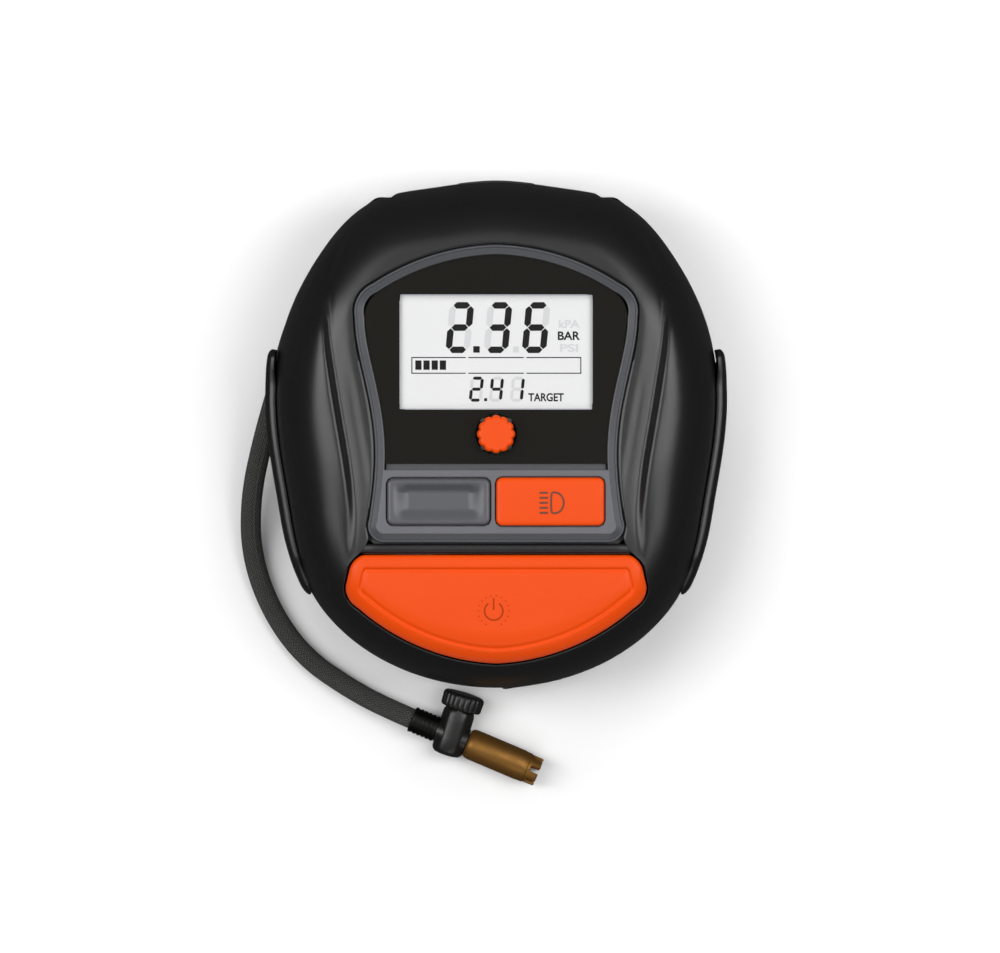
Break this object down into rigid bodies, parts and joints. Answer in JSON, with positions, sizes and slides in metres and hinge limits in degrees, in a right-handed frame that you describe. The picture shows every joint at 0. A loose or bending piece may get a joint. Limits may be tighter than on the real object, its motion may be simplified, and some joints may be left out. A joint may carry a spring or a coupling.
{
  "type": "tyre inflator with gauge",
  "caption": "Portable tyre inflator with a digital pressure gauge, setting knob, push keys, wrapped braided hose and brass screw-on valve chuck.",
  "frame": {"origin": "on the ground under the middle of the housing, which lies on its back on its four feet", "axes": "+Z out of the face, +Y from the power key towards the display's top edge, +X to the right of the face"},
  "size_m": [0.1876, 0.2343, 0.0816],
  "materials": {
    "shell_black": "fine moulded texture, black",
    "bezel_grey": "satin grey",
    "mask_gloss": "dark glossy display mask",
    "clear_lens": "clear moulded plastic",
    "lcd_glass": "display glass with dark segments",
    "white_plastic": "white plastic",
    "board_green": "circuit board",
    "black_plastic": "moulded black plastic",
    "relay_blue": "relay case",
    "rubber_black": "moulded rubber",
    "steel": "plated steel",
    "steel_dark": "blackened ribbed ferrule",
    "ferrite": "ferrite magnet",
    "die_cast": "die-cast light alloy",
    "tube_rubber": "smooth rubber tube",
    "hose_braid": "woven braid over a rubber hose",
    "brass": "turned brass",
    "orange": "satin orange plastic",
    "key_grey": "satin grey key"
  },
  "bodies": {
    "housing": {"front_shell": "shell_black", "rear_shell": "shell_black", "hose_groove_ring": "shell_black", "left_hose_guard": "shell_black", "right_hose_guard": "shell_black", "rubber_feet": "rubber_black", "housing_screws": "steel", "lead_grommet": "rubber_black", "display_bezel": "bezel_grey", "display_mask": "mask_gloss", "display_window": "clear_lens", "display_glass": "lcd_glass", "display_backlight": "white_plastic", "encoder_body": "white_plastic", "main_board": "board_green", "power_key_board": "board_green", "board_screws": "steel", "key_switches": "black_plastic", "power_key_springs": "steel", "pressure_sensor": "black_plastic", "motor_relay": "relay_blue", "lamp_lens": "clear_lens", "lamp_reflector": "white_plastic", "lamp_board": "board_green", "motor_can": "steel", "motor_end_cap": "black_plastic", "motor_magnets": "ferrite", "compressor_frame": "die_cast", "compressor_mounts": "rubber_black", "cylinder": "die_cast", "cylinder_head": "die_cast", "head_screws": "steel", "air_tube": "tube_rubber", "gauge_tube": "tube_rubber", "hose_outlet": "black_plastic", "air_hose": "hose_braid", "hose_ferrule": "steel_dark", "valve_body": "black_plastic"},
    "rotor": {"motor_shaft": "steel", "motor_armature": "steel", "motor_pinion": "brass"},
    "crank": {"crank_gear": "steel", "crank_axle": "steel", "crank_pin": "steel"},
    "rod": {"connecting_rod": "die_cast", "wrist_pin": "steel"},
    "piston": {"piston": "die_cast", "piston_ring": "white_plastic"},
    "setting_knob": {"target_knob": "orange", "encoder_shaft": "steel"},
    "lamp_key": {"light_key": "orange", "light_switch_plunger": "white_plastic"},
    "units_key": {"unit_key": "key_grey", "unit_switch_plunger": "white_plastic"},
    "on_off_key": {"power_key": "orange", "power_switch_plunger": "white_plastic"},
    "release": {"release_button": "black_plastic"},
    "chuck": {"brass_chuck": "brass", "chuck_seal": "rubber_black", "valve_depressor": "brass"}
  },
  "joints": [
    {"name": "motor_spin", "type": "hinge", "parent": "housing", "child": "rotor", "pos_m": [-0.034, 0, 0.032], "axis": [0, 1, 0], "continuous": true},
    {"name": "crank_spin", "type": "hinge", "parent": "housing", "child": "crank", "pos_m": [-0.01, 0.011, 0.032], "axis": [0, 1, 0], "continuous": true},
    {"name": "rod_swing", "type": "hinge", "parent": "crank", "child": "rod", "pos_m": [-0.0045, 0.018, 0.032], "axis": [0, 1, 0], "continuous": true},
    {"name": "piston_slide", "type": "slide", "parent": "housing", "child": "piston", "axis": [1, 0, 0], "range_m": [-0.011, 0]},
    {"name": "knob_spin", "type": "hinge", "parent": "housing", "child": "setting_knob", "pos_m": [0, 0, 0.076], "axis": [0, 0, 1], "continuous": true},
    {"name": "light_key_press", "type": "slide", "parent": "housing", "child": "lamp_key", "axis": [0, 0, -1], "range_m": [0, 0.0011], "stiffness_N_per_m": 600, "springref_m": -0.0015},
    {"name": "unit_key_press", "type": "slide", "parent": "housing", "child": "units_key", "axis": [0, 0, -1], "range_m": [0, 0.0011], "stiffness_N_per_m": 600, "springref_m": -0.0015},
    {"name": "power_key_press", "type": "slide", "parent": "housing", "child": "on_off_key", "axis": [0, 0, -1], "range_m": [0, 0.0012], "stiffness_N_per_m": 900, "springref_m": -0.002, "deforming": ["power_key_springs"]},
    {"name": "release_press", "type": "slide", "parent": "housing", "child": "release", "axis": [-0.2992, -0.9502, -0.0868], "range_m": [0, 0.0019], "stiffness_N_per_m": 1500, "springref_m": -0.002},
    {"name": "chuck_spin", "type": "hinge", "parent": "housing", "child": "chuck", "pos_m": [-0.00038, -0.12358, 0.00705], "axis": [0.9205, -0.3907, 0], "continuous": true}
  ],
  "couplings": [
    {"joint": "crank_spin", "follows": "motor_spin", "ratio": -0.25},
    {"joint": "rod_swing", "follows": "motor_spin", "ratio": 0.25}
  ]
}
